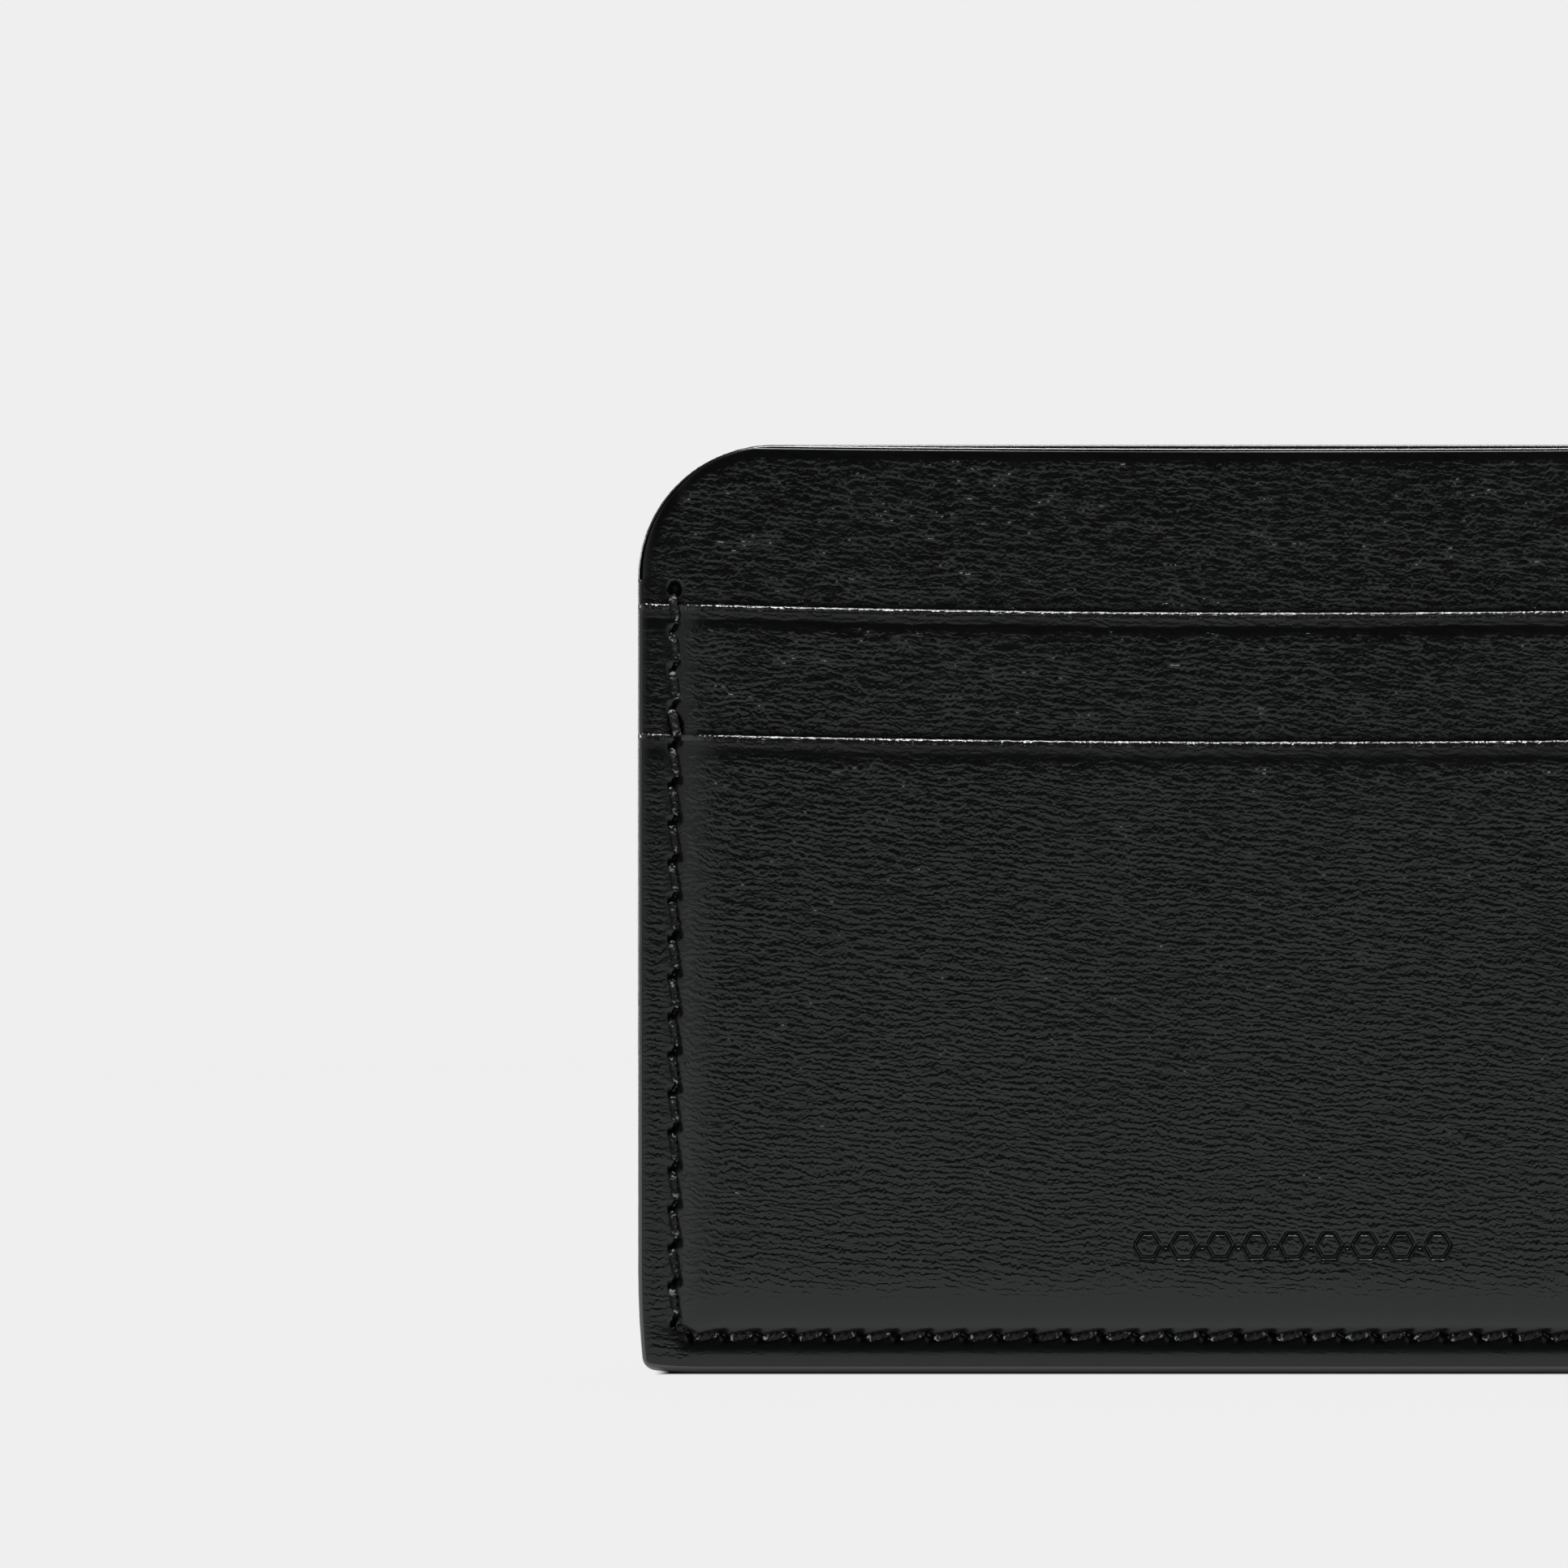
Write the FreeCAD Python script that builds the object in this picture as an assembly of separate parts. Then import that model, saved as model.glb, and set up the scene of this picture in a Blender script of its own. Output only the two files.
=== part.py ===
import FreeCAD, Part
import math
import os

# Card holder: two leather body panels with a note pocket between them, and two card
# slots on each face, all sewn together round the sides and the bottom.
# Millimetres. +X is the width, +Z is up, the front faces -Y, and the origin is on the
# bottom edge, under the middle. Each half is built outwards from the middle plane, so a
# layer's place is its distance "out" from that plane. The back half lies on +Y.

# ---- Outline ----
width = 105.0
height = 75.0
top_corner_radius = 11.0
bottom_corner_radius = 1.2
front_top_dip = 0.4            # the front panel's top edge sags this much in the middle
back_top_dip = 0.0

# ---- Sheet, paint and thread thicknesses ----
body_leather = 0.8
slot_leather = 0.6
lining_cloth = 0.2
edge_paint = 0.15
seam_thread = 0.45             # thread diameter
floor_thread = 0.3             # finer thread of the hidden seam under the upper slot

# ---- Pockets ----
card_thickness = 0.76
card_clearance = 0.14          # room for a card, measured through a slot
note_pocket_gap = 0.4          # between the two linings
upper_mouth_drop = 12.9        # upper slot's mouth, below the top, at the side edges
upper_mouth_dip = 0.8          # and how much lower it is in the middle
lower_mouth_drop = 23.4
lower_mouth_dip = 0.7
slot_ramp = 2.5                # width of the slope from the sewn edge to the raised face
upper_slot_floor = 12.0        # height of the hidden seam that stops the upper card
floor_to_slope = 2.0           # from that seam up to the upper slot's slope

# ---- Seam round the sides and the bottom ----
seam_from_side = 3.0
seam_from_bottom = 3.1
seam_corner_cut = 1.2          # the seam turns its corners by one short slanted stitch
hole_above_upper_mouth = 1.1
hole_below_lower_mouth = 0.8
side_pitch = 3.1
bottom_pitch = 2.76
floor_pitch = 3.07
floor_seam_from_slope = 1.0    # the hidden seam ends this far inside the slot's slopes
channel_width = 1.4            # pressed channel that the seam lies in
channel_depth = 0.2
channel_below_mouth = 0.9      # the channel stops this far below a mouth
stitch_veer = 0.1              # each stitch runs inwards by this much at each end
seam_to_slope = 1.0            # from the seam in to the foot of a slot panel's slope
hem_past_seam = 1.3            # from the seam in to the end of the lining's turned edge
thread_gap = 0.03              # room round the threads in a needle hole
joined_edge_above_mouth = 1.9  # the two halves' edges are painted as one up to here

# ---- Places that follow from them ----
half_width = width / 2
upper_mouth = height - upper_mouth_drop
lower_mouth = height - lower_mouth_drop
slot_gap = card_thickness + card_clearance
lining_in = note_pocket_gap / 2
body_in = lining_in + lining_cloth
body_out = body_in + body_leather
upper_flat_out = body_out + slot_leather
upper_face_out = upper_flat_out + slot_gap
lower_flat_out = upper_flat_out + slot_leather
lower_face_out = upper_face_out + slot_gap + slot_leather
slot_foot_half = half_width - seam_from_side - seam_to_slope
upper_foot = upper_slot_floor + floor_to_slope
lower_foot = seam_from_bottom + seam_to_slope
floor_bar_in = body_in + thread_gap + floor_thread / 2
floor_bar_out = upper_flat_out + floor_thread / 2
joined_edge_top = upper_mouth + joined_edge_above_mouth
far = width + height           # longer than anything here, for trimming


def point(x, out, z):
    return FreeCAD.Vector(x, out, z)


def box(x0, x1, out0, out1, z0, z1):
    corner = point(min(x0, x1), min(out0, out1), min(z0, z1))
    return Part.makeBox(abs(x1 - x0), abs(out1 - out0), abs(z1 - z0), corner)


def prism(edges, out0, out1):
    """The closed outline, drawn at out = 0, as a sheet from out0 to out1."""
    face = Part.Face(Part.Wire(edges))
    face.translate(point(0, out0, 0))
    return face.extrude(point(0, out1 - out0, 0))


def polygon(points):
    return Part.makePolygon(points + points[:1]).Edges


def corner_arc(start, centre, radius, angle, end):
    """A quarter arc that bulges from its centre towards the angle, in degrees."""
    turn = math.radians(angle)
    middle = point(centre[0] + radius * math.cos(turn), 0, centre[1] + radius * math.sin(turn))
    return Part.Arc(start, middle, end).toShape()


def top_edge(half, z, dip):
    """A top edge from right to left, lower by the dip in the middle."""
    right, left = point(half, 0, z), point(-half, 0, z)
    if dip:
        return Part.Arc(right, point(0, 0, z - dip), left).toShape()
    return Part.LineSegment(right, left).toShape()


def outline(inset, dip):
    """The holder's outline with the inset left off all round."""
    half, low, top = half_width - inset, inset, height - inset
    r_low, r_top = bottom_corner_radius - inset, top_corner_radius - inset
    in_low, in_top = half - r_low, half - r_top
    left_low, right_low = point(-half, 0, low + r_low), point(half, 0, low + r_low)
    left_top, right_top = point(-half, 0, top - r_top), point(half, 0, top - r_top)
    return [
        corner_arc(left_low, (-in_low, low + r_low), r_low, 225, point(-in_low, 0, low)),
        Part.LineSegment(point(-in_low, 0, low), point(in_low, 0, low)).toShape(),
        corner_arc(point(in_low, 0, low), (in_low, low + r_low), r_low, 315, right_low),
        Part.LineSegment(right_low, right_top).toShape(),
        corner_arc(right_top, (in_top, top - r_top), r_top, 45, point(in_top, 0, top)),
        top_edge(in_top, top, dip),
        corner_arc(point(-in_top, 0, top), (-in_top, top - r_top), r_top, 135, left_top),
        Part.LineSegment(left_top, left_low).toShape(),
    ]


def sheet(inset, dip, out0, out1):
    return prism(outline(inset, dip), out0, out1)


def under_mouth(z, dip, out0, out1):
    """Everything below a slot's mouth."""
    sides = [
        Part.LineSegment(point(-half_width, 0, z), point(-half_width, 0, -height)).toShape(),
        Part.LineSegment(point(-half_width, 0, -height), point(half_width, 0, -height)).toShape(),
        Part.LineSegment(point(half_width, 0, -height), point(half_width, 0, z)).toShape(),
    ]
    return prism(sides + [top_edge(half_width, z, dip)], out0, out1)


# ---- Slot panels ----
def pocket_rise(flat, face, foot_low):
    """The block under a slot panel's raised face: sloping at its sides and at its foot,
    and open at the top."""
    foot, flat_half = slot_foot_half, slot_foot_half - slot_ramp
    across = polygon([
        point(-foot, flat, 0), point(foot, flat, 0),
        point(flat_half, face, 0), point(-flat_half, face, 0),
    ])
    along = polygon([
        point(0, flat, foot_low), point(0, flat, far),
        point(0, face, far), point(0, face, foot_low + slot_ramp),
    ])
    by_side = Part.Face(Part.Wire(across)).extrude(point(0, 0, far))
    by_foot = Part.Face(Part.Wire(along))
    by_foot.translate(point(-half_width, 0, 0))
    return by_side.common(by_foot.extrude(point(width, 0, 0)))


def slot_shell(flat_in, face_out, foot_low, top):
    """A slot panel's leather, with its raised face, cut off at the height given as
    (mouth, dip) pairs: below the first and, if there is a second, above that one."""
    flat_out, face_in = flat_in + slot_leather, face_out - slot_leather
    layer = box(-far, far, flat_in, flat_out, -far, far)
    layer = layer.fuse(pocket_rise(flat_out, face_out, foot_low))
    layer = layer.cut(pocket_rise(flat_in, face_in, foot_low))
    layer = layer.common(sheet(edge_paint, 0, flat_in, face_out))
    layer = layer.common(under_mouth(top[0][0], top[0][1], flat_in, face_out))
    for mouth, dip in top[1:]:
        layer = layer.cut(under_mouth(mouth, dip, flat_in, face_out))
    return layer


def slot_panel(flat_in, face_out, foot_low, mouth, dip):
    """The panel below its painted mouth edge, as its raised face and its left, right
    and bottom margins, which meet face to face so that the slot behind stays open."""
    shell = slot_shell(flat_in, face_out, foot_low, [(mouth - edge_paint, dip)])
    side, low = slot_foot_half - slot_ramp, foot_low + slot_ramp
    cuts = [
        box(-side, side, 0, face_out, low, far),
        box(-far, -side, 0, face_out, -far, far),
        box(side, far, 0, face_out, -far, far),
        box(-side, side, 0, face_out, -far, low),
    ]
    return [shell.common(cut) for cut in cuts]


def mouth_coat(flat_in, face_out, foot_low, mouth, dip):
    return slot_shell(flat_in, face_out, foot_low, [(mouth, dip), (mouth - edge_paint, dip)])


# ---- Stitching ----
def spaced(start, end, pitch):
    """Holes from start to end, as near to the pitch as whole stitches allow."""
    count = max(1, round((end - start).Length / pitch))
    return [start + (end - start) * (i / count) for i in range(count + 1)]


def seam_holes():
    """Needle holes down the left side, along the bottom and up the right side."""
    x, low = half_width - seam_from_side, seam_from_bottom + seam_corner_cut
    first = point(-x, 0, upper_mouth + hole_above_upper_mouth)
    middle = point(-x, 0, lower_mouth - hole_below_lower_mouth)
    left = spaced(first, middle, side_pitch)[:-1]
    left += spaced(middle, point(-x, 0, low), side_pitch)
    corner = point(seam_corner_cut - x, 0, seam_from_bottom)
    bottom = spaced(corner, point(-corner.x, 0, corner.z), bottom_pitch)
    right = [point(-hole.x, 0, hole.z) for hole in reversed(left)]
    return left + bottom + right


def surface_at(z):
    """How far out the flat leather is, beside the seam."""
    if z < lower_mouth:
        return lower_flat_out
    return upper_flat_out if z < upper_mouth else body_out


def staple(start, end, leg_end, bar, thread):
    """One stitch: a bar on the surface with a leg down each of its two holes."""
    along = (end - start).normalize()
    bend = thread / 2 + thread_gap
    rise = math.copysign(bend, bar - leg_end)
    slope = bend * (1 - math.sqrt(0.5))

    def at(foot, inwards, out):
        return foot + along * inwards + point(0, out, 0)

    path = [
        Part.LineSegment(at(start, 0, leg_end), at(start, 0, bar - rise)),
        Part.Arc(at(start, 0, bar - rise),
                 at(start, slope, bar - math.copysign(slope, rise)), at(start, bend, bar)),
        Part.LineSegment(at(start, bend, bar), at(end, -bend, bar)),
        Part.Arc(at(end, -bend, bar),
                 at(end, -slope, bar - math.copysign(slope, rise)), at(end, 0, bar - rise)),
        Part.LineSegment(at(end, 0, bar - rise), at(end, 0, leg_end)),
    ]
    section = Part.makeCircle(thread / 2, at(start, 0, leg_end), point(0, 1, 0))
    wire = Part.Wire([piece.toShape() for piece in path])
    return wire.makePipeShell([Part.Wire(section)], True, False)


def leg_offset(thread):
    return thread / 2 + thread_gap / 2


def stitches(holes, leg_end, bar_for, thread, veer):
    """Stitches between neighbouring holes. The seam's inside is on its left."""
    made = []
    for start, end in zip(holes, holes[1:]):
        along = (end - start).normalize()
        inwards = point(-along.z, 0, along.x)
        first = start + along * leg_offset(thread) - inwards * veer
        last = end - along * leg_offset(thread) + inwards * veer
        made.append(staple(first, last, leg_end, bar_for(start, end), thread))
    return made


def seam_bar(start, end):
    """Height of a stitch's bar: in the channel, or over the step at a slot's mouth."""
    levels = surface_at(start.z), surface_at(end.z)
    sunk = channel_depth if levels[0] == levels[1] and end.z < upper_mouth else 0
    return max(levels) - sunk + seam_thread / 2


def needle_holes(holes, out0, out1, thread, veer):
    radius = math.hypot(leg_offset(thread), veer) + thread / 2 + thread_gap
    return [Part.makeCylinder(radius, out1 - out0, hole + point(0, out0, 0), point(0, 1, 0))
            for hole in holes]


def seam_channel(surface, z0, z1):
    """The pressed channel in one panel's flat edge, from z0 up to z1."""
    x, half = half_width - seam_from_side, channel_width / 2
    out0, cut = surface - channel_depth, seam_corner_cut
    tool = box(-x - half, -x + half, out0, surface, max(z0, seam_from_bottom + cut), z1)
    tools = [tool, box(x - half, x + half, out0, surface, max(z0, seam_from_bottom + cut), z1)]
    if z0 < seam_from_bottom:
        low, high = seam_from_bottom - half, seam_from_bottom + half
        tools.append(box(cut - x, x - cut, out0, surface, low, high))
        for side in (-1, 1):
            tools.append(prism(polygon([
                point(side * (x + half), 0, seam_from_bottom + cut),
                point(side * (x + half), 0, seam_from_bottom + cut - half / 2),
                point(side * (x - cut + half / 2), 0, low),
                point(side * (x - cut), 0, low),
                point(side * (x - cut), 0, high),
                point(side * (x - half), 0, seam_from_bottom + cut),
            ]), out0, surface))
    return tools


def floor_holes():
    end = slot_foot_half - slot_ramp - floor_seam_from_slope
    return spaced(point(-end, 0, upper_slot_floor), point(end, 0, upper_slot_floor), floor_pitch)


# ---- Pieces of one half ----
def body_panel(dip):
    panel = sheet(edge_paint, dip, body_in, body_out)
    end = slot_foot_half - slot_ramp
    groove = box(-end, end, body_in, floor_bar_in + floor_thread / 2,
                 upper_slot_floor - floor_thread, upper_slot_floor + floor_thread)
    return panel.cut([groove] + needle_holes(seam_holes(), body_in, body_out, seam_thread,
                                             stitch_veer)
                     + needle_holes(floor_holes(), body_in, body_out, floor_thread, 0))


def lining(dip):
    cloth = sheet(edge_paint, dip, lining_in, body_in)
    side = half_width - seam_from_side - hem_past_seam
    inner = box(-side, side, 0, lining_in, seam_from_bottom + hem_past_seam, far)
    hem = sheet(edge_paint, dip, 0, lining_in).cut(inner)
    hem = hem.common(box(-far, far, 0, lining_in, 0, joined_edge_top))
    return cloth.fuse(hem).removeSplitter().cut(
        needle_holes(seam_holes(), 0, body_in, seam_thread, stitch_veer))


def sewn_slot_panel(flat_in, face_out, foot_low, mouth, dip, tools):
    return [piece.cut(tools) for piece in slot_panel(flat_in, face_out, foot_low, mouth, dip)]


def paint_ring(dip, out0, out1, z0, z1):
    ring = sheet(0, dip, out0, out1).cut(sheet(edge_paint, dip, out0, out1))
    return ring.common(box(-far, far, out0, out1, z0, z1))




def floor_stitches():
    """The hidden seam that closes the upper slot's floor: its outer and inner thread."""
    outer = stitches(floor_holes(), body_out, lambda a, b: floor_bar_out, floor_thread, 0)
    inner = stitches(floor_holes(), body_out, lambda a, b: floor_bar_in, floor_thread, 0)
    return outer + inner


def half_pieces(top_dip):
    seam = seam_holes()
    upper_tools = needle_holes(seam, body_out, upper_flat_out, seam_thread, stitch_veer)
    upper_tools += needle_holes(floor_holes(), body_out, upper_flat_out, floor_thread, 0)
    upper_tools += seam_channel(upper_flat_out, lower_mouth, upper_mouth - channel_below_mouth)
    lower_tools = needle_holes(seam, upper_flat_out, lower_flat_out, seam_thread, stitch_veer)
    lower_tools += seam_channel(lower_flat_out, 0, lower_mouth - channel_below_mouth)
    upper = (body_out, upper_face_out, upper_foot, upper_mouth, upper_mouth_dip)
    lower = (upper_flat_out, lower_face_out, lower_foot, lower_mouth, lower_mouth_dip)
    return {
        "body_panel": [body_panel(top_dip)],
        "lining": [lining(top_dip)],
        "upper_slot_panel": sewn_slot_panel(*upper, upper_tools),
        "lower_slot_panel": sewn_slot_panel(*lower, lower_tools),
        "upper_slot_edge_coat": [mouth_coat(*upper)],
        "lower_slot_edge_coat": [mouth_coat(*lower)],
        "top_edge_coat": [paint_ring(top_dip, lining_in, body_out, joined_edge_top, far)],
        "seam_thread": stitches(seam, 0, seam_bar, seam_thread, stitch_veer),
        "slot_floor_thread": floor_stitches(),
    }


def side_and_bottom_edge_coat():
    """One coat of paint over both halves' edges: as wide as the layers that it covers."""
    steps = [(lower_flat_out, 0, lower_mouth), (upper_flat_out, lower_mouth, upper_mouth),
             (body_out, upper_mouth, joined_edge_top)]
    rings = [paint_ring(0, -out, out, z0, z1) for out, z0, z1 in steps]
    coat = rings[0].fuse(rings[1:]).removeSplitter()
    side = half_width - bottom_corner_radius
    cuts = [box(-far, -side, -far, far, 0, far), box(-side, side, -far, far, 0, far),
            box(side, far, -far, far, 0, far)]
    return [coat.common(cut) for cut in cuts]


# ---- Files ----
def solids_of(shapes):
    return [solid for shape in shapes for solid in shape.Solids]


def write(name, shapes):
    solids = solids_of(shapes)
    for solid in solids:
        assert solid.isValid() and solid.Volume > 0, name
    shape = solids[0] if len(solids) == 1 else Part.makeCompound(solids)
    shape.exportStep(f"parts/{name}.step")
    print(name, len(solids), "solids,", round(sum(s.Volume for s in solids), 2), "mm3")


def main():
    os.makedirs("parts", exist_ok=True)
    for name, shapes in half_pieces(back_top_dip).items():
        write("back_" + name, shapes)
    for name, shapes in half_pieces(front_top_dip).items():
        middle_plane = point(0, 0, 0), point(0, 1, 0)
        write("front_" + name, [shape.mirror(*middle_plane) for shape in solids_of(shapes)])
    write("side_and_bottom_edge_coat", side_and_bottom_edge_coat())


main()
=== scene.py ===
import math

import bpy
import bmesh
import numpy as np
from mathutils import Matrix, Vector


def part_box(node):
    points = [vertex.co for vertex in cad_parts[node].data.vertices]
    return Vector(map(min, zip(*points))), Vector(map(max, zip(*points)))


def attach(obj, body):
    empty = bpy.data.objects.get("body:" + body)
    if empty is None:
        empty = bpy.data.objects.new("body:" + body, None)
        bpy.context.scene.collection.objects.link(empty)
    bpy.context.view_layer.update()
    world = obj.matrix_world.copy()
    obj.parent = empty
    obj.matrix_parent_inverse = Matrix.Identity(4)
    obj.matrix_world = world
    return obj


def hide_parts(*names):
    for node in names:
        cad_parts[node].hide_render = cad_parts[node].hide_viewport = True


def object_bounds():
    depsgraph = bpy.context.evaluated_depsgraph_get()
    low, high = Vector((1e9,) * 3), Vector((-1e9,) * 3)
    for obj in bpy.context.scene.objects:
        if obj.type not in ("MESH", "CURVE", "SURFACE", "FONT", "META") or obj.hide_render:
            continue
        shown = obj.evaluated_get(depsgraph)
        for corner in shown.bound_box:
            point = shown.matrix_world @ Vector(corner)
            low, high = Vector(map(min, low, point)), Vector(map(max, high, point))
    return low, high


# A black leather card holder. Lengths in this script are millimetres until a mesh is
# stored, when they become metres. Each half is worked out by its distance "out" from
# the middle plane, with "across" to the right and "up" from the bottom edge as that
# half is looked at; the back half is the front half turned half round.

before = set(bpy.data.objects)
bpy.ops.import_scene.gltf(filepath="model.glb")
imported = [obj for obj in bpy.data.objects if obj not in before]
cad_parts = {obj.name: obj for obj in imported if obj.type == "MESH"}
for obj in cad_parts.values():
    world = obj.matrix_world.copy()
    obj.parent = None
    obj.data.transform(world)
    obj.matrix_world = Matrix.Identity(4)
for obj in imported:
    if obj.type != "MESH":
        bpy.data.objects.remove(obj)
cad_low, cad_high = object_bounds()
MM = 1000.0

# ---- Sizes that the CAD nodes give ----
PAINT = 0.15
EDGE_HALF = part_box("front_body_panel")[1].x * MM
EDGE_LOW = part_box("front_body_panel")[0].z * MM
BODY_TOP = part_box("front_body_panel")[1].z * MM
BODY_OUT = -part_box("front_body_panel")[0].y * MM
BODY_IN = -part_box("front_body_panel")[1].y * MM
LINING_IN = 0.2
UPPER_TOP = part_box("front_upper_slot_panel")[1].z * MM
UPPER_OUT = -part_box("front_upper_slot_panel")[0].y * MM
LOWER_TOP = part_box("front_lower_slot_panel")[1].z * MM
LOWER_OUT = -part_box("front_lower_slot_panel")[0].y * MM
LOWER_IN = -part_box("front_lower_slot_panel")[1].y * MM
SLOT_LEATHER = LOWER_IN - BODY_OUT
UPPER_FLAT = LOWER_IN
LOWER_FLAT = LOWER_IN + SLOT_LEATHER
HOLDER_HALF = cad_high.x * MM

# ---- Shape of the leather ----
TOP_RADIUS = 11.0 - PAINT
LOW_RADIUS = 0.85
SIDE_LEAN = 0.44              # the sides draw in by this much below LEAN_FROM
LEAN_FROM = 8.5
LOW_LIFT = 0.36               # the bottom edge rises by this much towards the corners
LIFT_FROM = 5.2               # from this far inside the sides
UPPER_DIP = 0.8               # how far a mouth sags in its middle
LOWER_DIP = 0.7
FRONT_TOP_DIP = 0.4           # the front body dips a little; the back one stays level
BACK_TOP_DIP = 0.0
SEAM_IN = 3.0                 # the seam, from the sides
SEAM_UP = 3.1                 # and from the bottom
CORNER_CUT = 1.2              # one short slanted stitch cuts each corner
SEAM_TURN = 2.2               # how softly the pockets round the corners of the seam
EDGE_TURN = 1.0               # and the rolled edges round the bottom corners
UPPER_FLOOR = 13.0            # the upper slot's face starts to rise here
RISE_WIDTH = 5.2              # from the seam to where a pocket's face is level
EDGE_ROLL = 1.9               # the sewn edges roll away over this width
EDGE_ROLL_DEPTH = 0.15        # as a share of the distance from the middle plane
SEAM_VALLEY = 0.115           # how far the seam pulls the leather in, another share
SEAM_VALLEY_WIDTH = 0.95
MOUTH_ROUND = 0.26
CREASE_BELOW = 1.05           # creased line under a mouth
CREASE_HALF = 0.09            # half its width
BAND_FROM = 0.1               # the band starts to fall this far below the mouth
BODY_WAVES = 0.4              # the share of a face's slow waves that the body has
BAND_GRAIN = 0.2              # the grain left on the band between mouth and crease
TOP_GRAIN_FROM = 0.35         # on the body the grain starts this far below the top
GRAIN_FADE = 0.9              # and it reaches its depth over this width
# The share of the grain left at the foot of a pocket, the height up to which it is as
# low as that, and the height where it is whole; and the same by the distance from an edge.
FOOT_GRAIN = (0.12, 4.6, 9.0)
EDGE_GRAIN = (0.35, 0.2, 2.2)
# The upper and the lower slot's crease: how deep the band above it is, the width over
# which the leather stands up again below it, and the depth of its line.
UPPER_CREASE = (0.1, 0.8, 0.03)
LOWER_CREASE = (0.06, 1.6, 0.012)
SIDE_FILLET = (0.42, 0.13)    # rounding of the sides: width, and depth as a share
LOW_FILLET = (0.75, 0.2)      # rounding of the bottom edge
CORNER_FLARE = 0.1            # the bottom corners stand out by this share
FLARE_WIDE, FLARE_TALL = 2.4, 3.6
MOST_ROLL = 0.6               # the edges keep at least the rest of their thickness
TOP_ROLL = 0.95               # the body leather rolls back under its painted edge
TOP_ROLL_DEPTH = 0.13

# ---- Stitching ----
FIRST_HOLE_ABOVE = 1.1
MIDDLE_HOLE_BELOW = 0.8
SIDE_PITCH = 3.1
BOTTOM_PITCH = 2.76
THREAD = 0.78                 # width of a laid stitch
VEER = 0.28                   # each stitch lies across the seam by this much each way
CHANNEL_DEPTH = 0.165         # shares of the distance from the middle plane
SLIT_DEPTH = 0.36
SLIT_LENGTH = 1.3
SLIT_HALF = 0.2               # half its width
FIRST_PIT = 0.5               # half width of the open pit round the first and last hole
FIRST_DEPTH = 0.75
STITCH_IN = 0.3               # a stitch starts and ends this far from its holes' middles
LIES_PROUD = 0.2              # in thread radii, how far its middle line is off the channel
DIVE_DEPTH = 3.9              # in thread radii, how deep it goes at its holes
DIVE_WIDTH = 0.26             # over this width
FLATTENED = 0.7               # its thickness as a share of its width
SLIT_TURN = math.radians(36)  # between the seam and its slits
STITCH_REACH = 2.0            # nothing that a stitch presses in lies further off
CHANNEL_FLOOR = 0.2           # half width of the flat floor of a stitch's channel
CHANNEL_HALF = 0.42           # half the channel's width at the stitch's ends
CHANNEL_SWELL = 0.1           # and this much more at its middle
SMOOTHED = (0.5, 1.5)         # pressed smooth within the first, untouched past the second
STITCH_SMOOTHS = 0.75         # the share of the grain that a stitch presses out


# ---- Small tools ----
def clamp(t):
    return np.clip(t, 0.0, 1.0)


def smooth(low, high, value):
    t = clamp((value - low) / (high - low))
    return t * t * (3 - 2 * t)


def lesser(a, b, blend):
    """The lesser of two values, passing softly from one to the other."""
    h = clamp(0.5 + 0.5 * (a - b) / blend)
    return a * (1 - h) + b * h - blend * h * (1 - h)


def flat_points(mesh):
    """The vertices of a mesh as rows of three."""
    points = np.empty(len(mesh.vertices) * 3)
    mesh.vertices.foreach_get("co", points)
    return points.reshape(-1, 3)


def select_only(obj):
    bpy.ops.object.select_all(action="DESELECT")
    obj.select_set(True)
    bpy.context.view_layer.objects.active = obj


def holes_between(start, end, pitch):
    start, end = np.array(start, float), np.array(end, float)
    count = max(1, round(float(np.linalg.norm(end - start)) / pitch))
    return [start + (end - start) * i / count for i in range(count + 1)]


def seam_holes():
    """Needle holes as (across, up), down the left side, along the bottom, up the right."""
    side = HOLDER_HALF - SEAM_IN
    first = (-side, UPPER_TOP + PAINT + FIRST_HOLE_ABOVE)
    middle = (-side, LOWER_TOP + PAINT - MIDDLE_HOLE_BELOW)
    left = holes_between(first, middle, SIDE_PITCH)[:-1]
    left += holes_between(middle, (-side, SEAM_UP + CORNER_CUT), SIDE_PITCH)
    corner = side - CORNER_CUT
    bottom = holes_between((-corner, SEAM_UP), (corner, SEAM_UP), BOTTOM_PITCH)
    right = [hole * np.array((-1.0, 1.0)) for hole in reversed(left)]
    return np.array(left + bottom + right)


HOLES = seam_holes()


def seam_distance(x, z):
    """How far inside the line of the seam a point is, with its corners rounded."""
    side = HOLDER_HALF - SEAM_IN - np.abs(x)
    low = z - SEAM_UP
    return lesser(low, side, SEAM_TURN)


def side_at(z):
    """Half the width of the leather at a height, with its sides drawn in at the bottom."""
    return EDGE_HALF - SIDE_LEAN * clamp(1 - (z - EDGE_LOW) / LEAN_FROM) ** 2


def bottom_at(x):
    """The height of the leather's bottom edge."""
    return EDGE_LOW + LOW_LIFT * clamp((np.abs(x) - EDGE_HALF + LIFT_FROM) / LIFT_FROM) ** 2


def edge_distance(x, z):
    """How far a point is from the sewn edges: the sides and the bottom."""
    side = side_at(z) - np.abs(x)
    low = z - bottom_at(x)
    return np.maximum(lesser(low, side, EDGE_TURN), 0)


def low_edge_share(x, z):
    """1 where the bottom is the nearest edge, 0 where it is a side."""
    return smooth(-0.6, 0.6, side_at(z) - np.abs(x) - z + bottom_at(x))


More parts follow.
